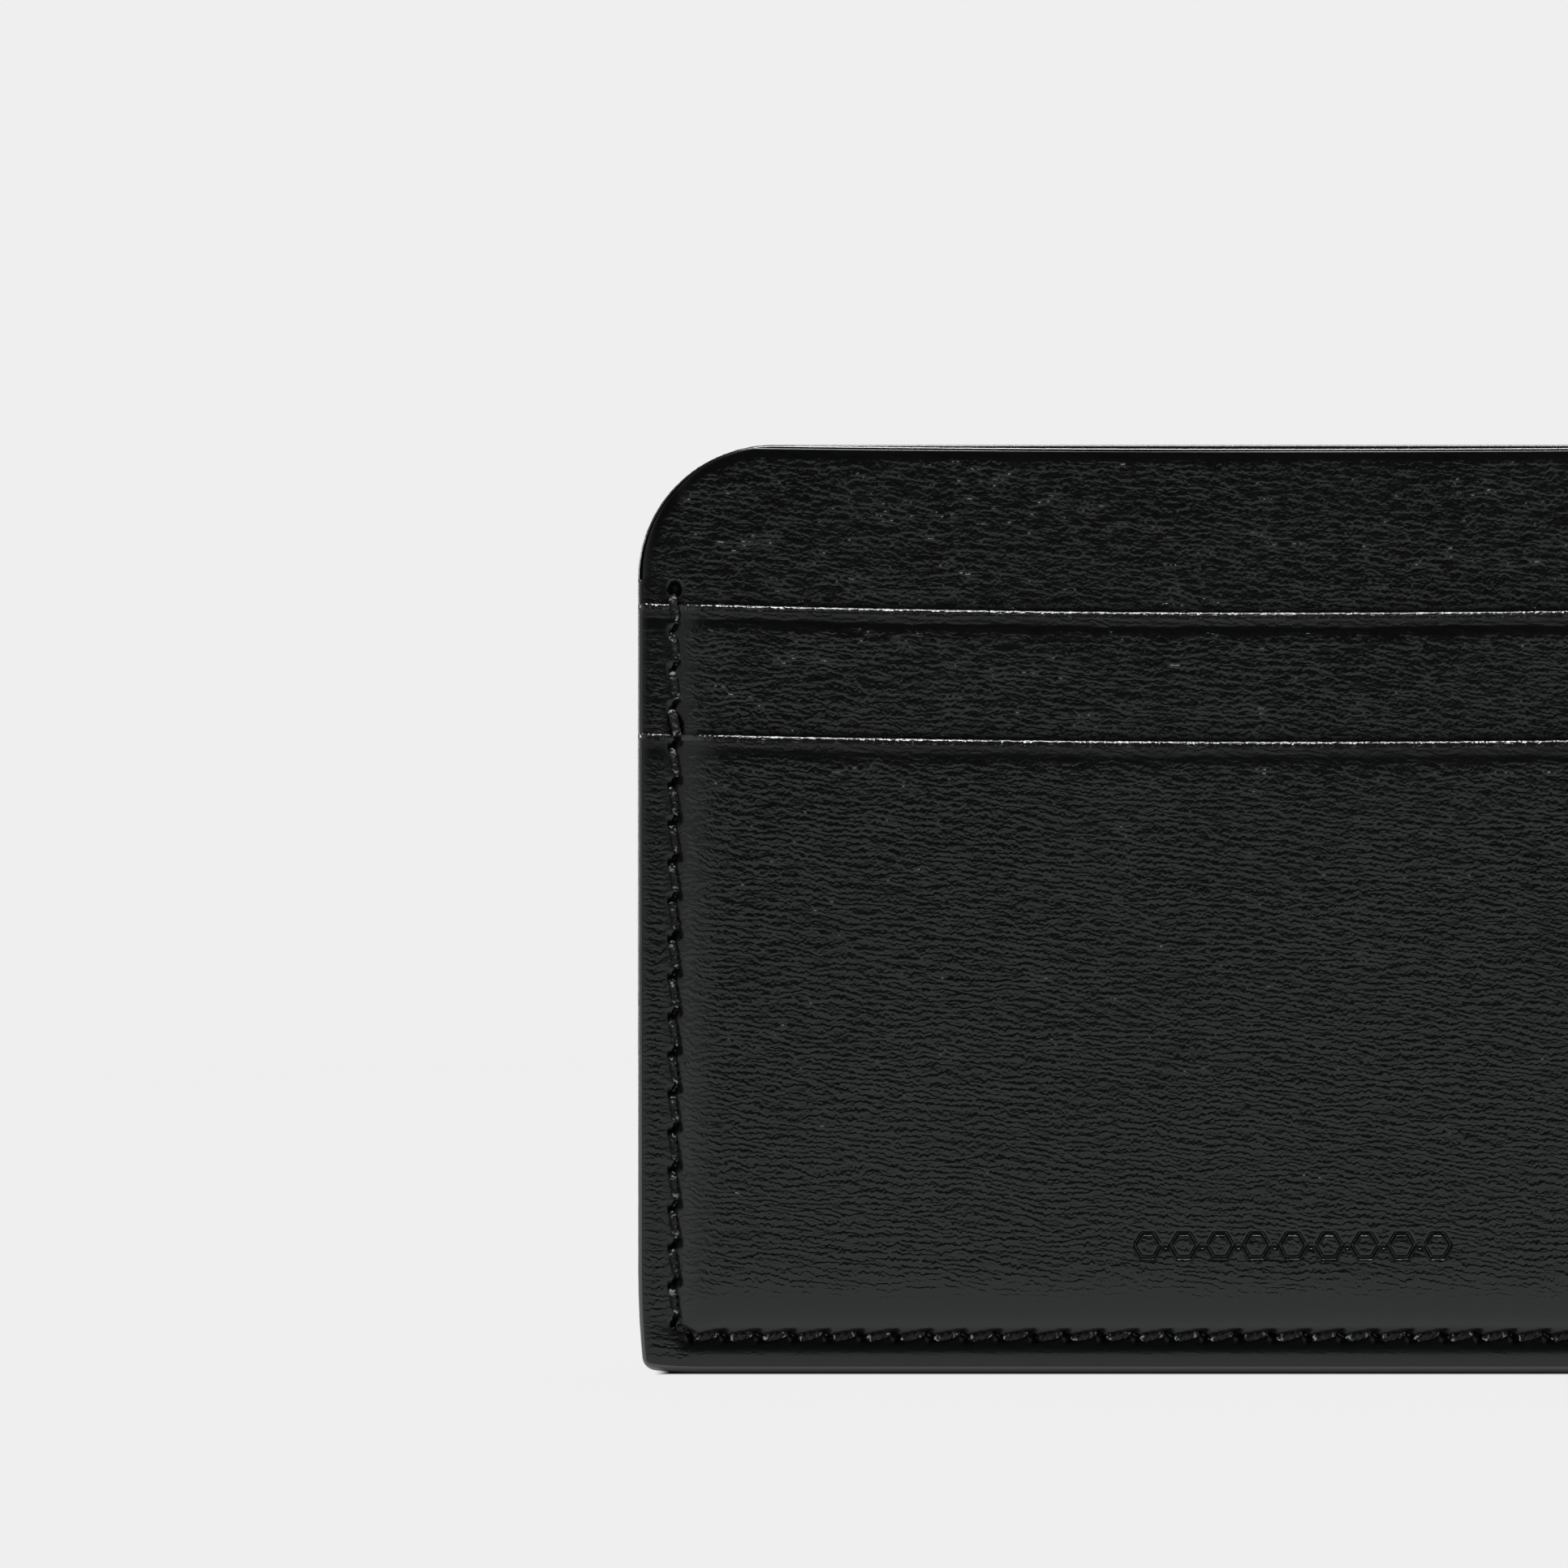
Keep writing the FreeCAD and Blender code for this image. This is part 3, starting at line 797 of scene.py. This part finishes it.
def grained_leather():
    """Black calf leather, drum dyed, pressed with a fine long grain and finished with a
    thin semi-gloss pigment coat: dark wrinkles between soft grey plateaus, the hollows
    also painted darker as painted shade."""
    material, tree, mm = new_material("black_calf_leather_pressed_grain")
    across, depth, up = (add(tree, "SeparateXYZ", [add(tree, "Mapping", {
        "Vector": mm, "Rotation": (0.0, -GRAIN_SLANT, 0.0)})], axis) for axis in range(3))

    def lumps(long, high, detail, seed):
        """Soft lumps of leather, long by high millimetres."""
        at = add(tree, "CombineXYZ", [
            add(tree, "Math", (across, long), operation="DIVIDE"),
            add(tree, "Math", (depth, seed), operation="ADD"),
            add(tree, "Math", (up, high), operation="DIVIDE")])
        return add(tree, "TexNoise", {"Vector": at, "Scale": 1.0, "Detail": detail,
                                      "Roughness": 0.55})

    def wrinkles(pitch, seed):
        """Long scales one below another: each stands up sharply out of its wrinkle and
        slopes gently down to the next."""
        bend = add(tree, "Math", (lumps(6.0, 3.0, 0.0, seed), 2.6, 0.0),
                   operation="MULTIPLY_ADD")
        bend = add(tree, "Math", (lumps(1.5, 1.0, 1.0, seed + 5), 1.3, bend),
                   operation="MULTIPLY_ADD")
        bend = add(tree, "Math", (lumps(0.32, 0.4, 0.0, seed + 7), 0.75, bend),
                   operation="MULTIPLY_ADD")
        phase = add(tree, "Math", (up, -1 / pitch, bend), operation="MULTIPLY_ADD")
        part = add(tree, "Math", [phase], operation="FRACT")
        rise = add(tree, "MapRange", {"Value": part, "From Min": 0.0, "From Max": 0.4},
                   interpolation_type="SMOOTHSTEP")
        fall = add(tree, "MapRange", {"Value": part, "From Min": 0.16, "From Max": 1.0})
        fall = add(tree, "Math", (1.0, add(tree, "Math", (fall, 1.7), operation="POWER")),
                   operation="SUBTRACT")
        return add(tree, "Math", (rise, fall), operation="MULTIPLY")

    choice = add(tree, "MapRange", {"Value": lumps(3.2, 1.3, 1.0, 9.0), "From Min": 0.44,
                                    "From Max": 0.56}, interpolation_type="SMOOTHSTEP")
    scales = add(tree, "Mix", {0: choice, 2: wrinkles(0.53, 0.0), 3: wrinkles(0.66, 20.0)})
    strong = add(tree, "MapRange", {"Value": lumps(1.4, 0.6, 1.0, 13.0), "From Min": 0.3,
                                    "From Max": 0.62, "To Min": 0.4, "To Max": 1.15},
                 interpolation_type="SMOOTHSTEP")
    mask = add(tree, "Attribute", result="Fac", attribute_name="grain")
    strong = add(tree, "Math", (strong, mask), operation="MULTIPLY")
    height = add(tree, "Math", (scales, strong), operation="MULTIPLY")
    fine = add(tree, "Math", (lumps(0.26, 0.17, 1.0, 3.0), mask), operation="MULTIPLY")
    height = add(tree, "Math", (fine, 0.55, height), operation="MULTIPLY_ADD")
    pores = add(tree, "TexNoise", {"Vector": mm, "Scale": 5.0, "Detail": 2.0})
    height = add(tree, "Math", (pores, 0.07, height), operation="MULTIPLY_ADD")
    bump = add(tree, "Bump", {"Strength": 1.0, "Distance": GRAIN_DEPTH / MM, "Height": height})
    # Painted shade: the base colour is darker down in each wrinkle's hollow and lighter on its
    # plateau.
    colour = add(tree, "Mix", {0: scales, 6: linear("#030303"), 7: linear("#090909")}, 2,
                 data_type="RGBA")
    patch = add(tree, "TexNoise", {"Vector": mm, "Scale": 0.12, "Detail": 3.0})
    rough = add(tree, "MapRange", {"Value": patch, "From Min": 0.3, "From Max": 0.7,
                                   "To Min": 0.24, "To Max": 0.28})
    shader = add(tree, "BsdfPrincipled", {
        "Base Color": colour, "Roughness": rough, "IOR": 1.47,
        "Specular Tint": (0.94, 0.98, 0.99, 1.0), "Normal": bump})
    add(tree, "OutputMaterial", [shader])
    return material


def flesh_side():
    """The raw inner side of the same leather: a dull, short nap."""
    material, tree, mm = new_material("black_leather_flesh_side")
    nap = add(tree, "TexNoise", {"Vector": mm, "Scale": 3.2, "Detail": 4.0, "Roughness": 0.7})
    bump = add(tree, "Bump", {"Strength": 0.7, "Distance": 0.00008, "Height": nap})
    colour = add(tree, "Mix", {0: nap, 6: linear("#0D0C0C"), 7: linear("#1A1817")}, 2,
                 data_type="RGBA")
    shader = add(tree, "BsdfPrincipled", {
        "Base Color": colour, "Roughness": 0.92, "Sheen Weight": 0.2, "Normal": bump})
    add(tree, "OutputMaterial", [shader])
    return material


def edge_paint(name, unevenness_depth, lumps, coat_roughness):
    """Acrylic edge paint, laid on by hand in several coats and varnished. On the thin
    slot edges it is uneven enough to break a reflection into dashes; on the sewn edge it
    was sanded between coats, and the top edges are between the two. The depth and the
    lumps' width are in millimetres."""
    material, tree, mm = new_material(name)
    swell = add(tree, "TexNoise", {"Vector": mm, "Scale": 1 / lumps, "Detail": 2.0})
    bump = add(tree, "Bump", {"Strength": 1.0, "Distance": unevenness_depth / MM,
                              "Height": swell})
    colour = add(tree, "Mix", {0: swell, 6: linear("#060606"), 7: linear("#0E0D0D")}, 2,
                 data_type="RGBA")
    rough = add(tree, "MapRange", {"Value": swell, "From Min": 0.3, "From Max": 0.7,
                                   "To Min": 0.15, "To Max": 0.22})
    shader = add(tree, "BsdfPrincipled", {
        "Base Color": colour, "Roughness": rough, "IOR": 1.5, "Coat Weight": 1.0,
        "Coat Roughness": coat_roughness, "Normal": bump, "Coat Normal": bump})
    add(tree, "OutputMaterial", [shader])
    return material


# Painted highlights: above this noise level the thread's colour turns pale near the stitch ends.
PAINTED_GLINT_THRESHOLD = 0.575


def waxed_thread():
    """Three-ply polyester thread, waxed: its plies lie across the strand at a slant. The
    map of a strand has its turns in U and its length in the upper half of V. Pale specks
    near the ends of each stitch are painted glints: highlights painted into its colour."""
    material, tree, mm = new_material("black_waxed_polyester_thread")
    at = add(tree, "UVMap", uv_map="UVMap")
    turn, along = (add(tree, "SeparateXYZ", [at], axis) for axis in range(2))
    plies_in_stitch = 7
    phase = add(tree, "Math", (turn, 2 * math.pi, add(
        tree, "Math", (along, 4 * math.pi * plies_in_stitch), operation="MULTIPLY")),
        operation="MULTIPLY_ADD")
    ply = add(tree, "Math", [phase], operation="SINE")
    fibre = add(tree, "TexNoise", {"Vector": mm, "Scale": 7.0, "Detail": 2.0})
    height = add(tree, "Math", (ply, 0.5, fibre), operation="MULTIPLY_ADD")
    bump = add(tree, "Bump", {"Strength": 1.0, "Distance": 0.00015, "Height": height})
    colour = add(tree, "Mix", {0: fibre, 6: linear("#040404"), 7: linear("#0A0A0B")}, 2,
                 data_type="RGBA")
    # This noise sets where the wax makes the thread glossier, and where the painted glints lie.
    wax = add(tree, "TexNoise", {"Vector": mm, "Scale": 3.8, "Detail": 0.0})
    rough = add(tree, "MapRange", {"Value": wax, "From Min": 0.44, "From Max": 0.56,
                                   "To Min": 0.5, "To Max": 0.12})
    # Painted glints: pale specks painted into the colour near the ends of each stitch.
    painted_glint = add(tree, "MapRange", {"Value": wax, "From Min": PAINTED_GLINT_THRESHOLD,
                                   "From Max": PAINTED_GLINT_THRESHOLD + 0.03})
    from_middle = add(tree, "Math", [add(tree, "Math", (along, 0.75), operation="SUBTRACT")],
                      operation="ABSOLUTE")
    near_end = add(tree, "MapRange", {"Value": from_middle, "From Min": 0.05, "From Max": 0.12})
    painted_glint = add(tree, "Math", (painted_glint, near_end), operation="MULTIPLY")
    colour = add(tree, "Mix", {0: painted_glint, 6: colour, 7: linear("#D6D8DA")}, 2,
                 data_type="RGBA")
    shader = add(tree, "BsdfPrincipled", {
        "Base Color": colour, "Roughness": rough, "IOR": 1.4, "Normal": bump})
    add(tree, "OutputMaterial", [shader])
    return material


def lining_cloth():
    """Plain woven polyester lining, with four threads a millimetre each way."""
    material, tree, mm = new_material("black_woven_lining")
    warp, weft = (add(tree, "Math", [add(tree, "Math", (add(
        tree, "SeparateXYZ", [mm], axis), 8 * math.pi), operation="MULTIPLY")], operation="SINE")
        for axis in (0, 2))
    weave = add(tree, "Math", (warp, weft), operation="MULTIPLY")
    bump = add(tree, "Bump", {"Strength": 0.8, "Distance": 0.00004, "Height": weave})
    shade = add(tree, "MapRange", {"Value": weave, "From Min": -1.0, "From Max": 1.0})
    colour = add(tree, "Mix", {0: shade, 6: linear("#0B0B0C"), 7: linear("#171718")}, 2,
                 data_type="RGBA")
    shader = add(tree, "BsdfPrincipled", {
        "Base Color": colour, "Roughness": 0.8, "Sheen Weight": 0.3, "Normal": bump})
    add(tree, "OutputMaterial", [shader])
    return material


def matt_paper():
    """White paper under even light: nearly all of its light is its own, so that it keeps
    one tone out to its edge. Close round the foot of the holder that glow is painted
    darker, as a painted contact shadow."""
    material, tree, mm = new_material("white_matt_paper")
    # Painted contact shadow: the glow fades to nothing within 1.3 mm of the holder's foot.
    across, deep = (add(tree, "Math", (add(tree, "Math", [add(
        tree, "SeparateXYZ", [mm], axis)], operation="ABSOLUTE"), foot), operation="SUBTRACT")
        for axis, foot in ((0, HOLDER_HALF - 2.6), (1, LOWER_FLAT * 0.6)))
    away = add(tree, "Math", (across, deep), operation="MAXIMUM")
    glow_with_painted_contact_shadow = add(tree, "MapRange", {"Value": away, "From Min": 0.0, "From Max": 1.3,
                                  "To Min": 0.0, "To Max": PAPER_GLOW},
               interpolation_type="SMOOTHSTEP")
    shader = add(tree, "BsdfPrincipled", {
        "Base Color": (PAPER_WHITE, PAPER_WHITE, PAPER_WHITE, 1.0), "Roughness": 1.0,
        "Specular IOR Level": 0.0, "Emission Color": (1.0, 1.0, 1.0, 1.0),
        "Emission Strength": glow_with_painted_contact_shadow})
    add(tree, "OutputMaterial", [shader])
    return material


# ---- Camera, floor and light ----
PAPER_WHITE = 0.01
PAPER_GLOW = 0.848
PAPER_RADIUS = 0.42
BACKDROP = 0.8632
ROOM = 0.04
SIDE_WALLS = 0.45
WARM = (1.0, 0.95, 0.87)


CAMERA_ACROSS, CAMERA_UP = -0.0407, 0.0475
LENS, SENSOR = 100.0, 36.0
SEEN_WIDTH = 0.1268           # what the view takes in at the holder's face
FACE_OUT = 0.0004             # the distance is taken from this far in front of the middle
CAMERA_AWAY = SEEN_WIDTH * LENS / SENSOR + FACE_OUT


def place_camera():
    """A long lens, a little above the middle of the holder and aimed past its left side."""
    data = bpy.data.cameras.new("camera")
    data.lens, data.sensor_width = LENS, SENSOR
    data.clip_start, data.clip_end = 0.01, 20.0
    camera = bpy.data.objects.new("camera", data)
    bpy.context.scene.collection.objects.link(camera)
    camera.location = (CAMERA_ACROSS, -CAMERA_AWAY, CAMERA_UP)
    camera.rotation_euler = (math.radians(90), 0, 0)
    bpy.context.scene.camera = camera


def softbox(name, place, aim, size, brightness, colour=(1.0, 1.0, 1.0)):
    """A soft area light whose face has the given brightness."""
    data = bpy.data.lights.new(name, "AREA")
    data.shape, data.size, data.size_y = "RECTANGLE", size[0], size[1]
    data.color = colour
    data.energy = brightness * math.pi * size[0] * size[1]
    light = bpy.data.objects.new(name, data)
    bpy.context.scene.collection.objects.link(light)
    light.location = place
    light.rotation_euler = (Vector(aim) - Vector(place)).to_track_quat("-Z", "Y").to_euler()


def studio():
    bpy.ops.object.select_all(action="DESELECT")
    bpy.ops.mesh.primitive_circle_add(vertices=96, radius=PAPER_RADIUS, fill_type="NGON")
    floor = bpy.context.object
    floor.name = "paper_floor"
    floor.data.materials.append(matt_paper())
    world = bpy.data.worlds.new("studio")
    bpy.context.scene.world = world
    world.use_nodes = True
    tree = world.node_tree
    tree.nodes.clear()
    way = add(tree, "TexCoord", result="Generated")
    sideways = add(tree, "Math", [add(tree, "SeparateXYZ", [way])], operation="ABSOLUTE")
    room = add(tree, "MapRange", {"Value": sideways, "From Min": 0.3, "From Max": 0.8,
                                  "To Min": ROOM, "To Max": SIDE_WALLS},
               interpolation_type="SMOOTHSTEP")
    seen = add(tree, "LightPath", result="Is Camera Ray")
    level = add(tree, "MapRange", {"Value": seen, "To Min": room, "To Max": BACKDROP})
    add(tree, "OutputWorld", [add(tree, "Background", [level, 1.0])])
    softbox("overhead_softbox", (0.02, 0.04, 0.75), (0.02, 0, 0.04), (0.34, 0.44), 17.0)
    for side in (-1, 1):
        softbox("grazing_softbox", (side * 0.6, 0.32, 0.12), (0, 0, 0.04), (0.12, 0.3), 15.0,
                WARM)
    bpy.context.scene.view_settings.view_transform = "Standard"


# ---- The holder ----
def fit_out(piece, materials, slot_name, *nodes):
    piece.data.materials.clear()
    for material in materials:
        piece.data.materials.append(material)
    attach(piece, "root")
    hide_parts(*nodes)
    return piece


def build():
    leather, flesh = grained_leather(), flesh_side()
    slot_paint = edge_paint("black_edge_paint_hand_laid", 0.13, 0.33, 0.2)
    sewn_paint = edge_paint("black_edge_paint_sanded", 0.012, 0.8, 0.12)
    top_paint = edge_paint("black_edge_paint_brushed", 0.03, 0.5, 0.25)
    thread, cloth = waxed_thread(), lining_cloth()
    halves = {"front": panels_of(1), "back": panels_of(-1)}
    for half, side in (("front", 1), ("back", -1)):
        body, upper, lower = halves[half]
        for panel, node in ((body, "_body_panel"), (upper, "_upper_slot_panel"),
                            (lower, "_lower_slot_panel")):
            fit_out(form_panel(panel, side), (leather, flesh), "leather", half + node)
        for panel, node, seed in ((upper, "_upper_slot_edge_coat", 1.0),
                                  (lower, "_lower_slot_edge_coat", 3.0)):
            edge = mouth_edge(panel, side, half + node.replace("coat", "paint"), seed)
            fit_out(edge, (slot_paint,), "edge_paint", half + node)
        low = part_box(half + "_top_edge_coat")[0].z * MM
        path = top_edge_path(body, low)
        inner = np.full(len(path), LINING_IN + 0.02)
        outer = body.face(path[:, 0], np.minimum(path[:, 1], BODY_TOP) - 0.1, True)[0]
        outer = np.full(len(path), float(np.median(outer)))
        top = capped_edge(half + "_top_edge_paint", path, inner, outer, side, 5.0 * side,
                          TOP_CAP)
        fit_out(top, (top_paint,), "edge_paint", half + "_top_edge_coat")
        stitches = seam_stitches(side, half + "_seam_stitches")
        fit_out(stitches, (thread,), "thread", half + "_seam_thread")
        lining = lining_sheet(side, half + "_lining_cloth")
        fit_out(lining, (cloth,), "lining", half + "_lining")
        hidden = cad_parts[half + "_slot_floor_thread"]
        hidden.data.materials.clear()
        hidden.data.materials.append(thread)
    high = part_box("side_and_bottom_edge_coat")[1].z * MM
    sewn = sewn_edge(halves["front"], halves["back"], high, "sewn_edge_paint")
    fit_out(sewn, (sewn_paint,), "edge_paint", "side_and_bottom_edge_coat")


place_camera()
studio()
build()
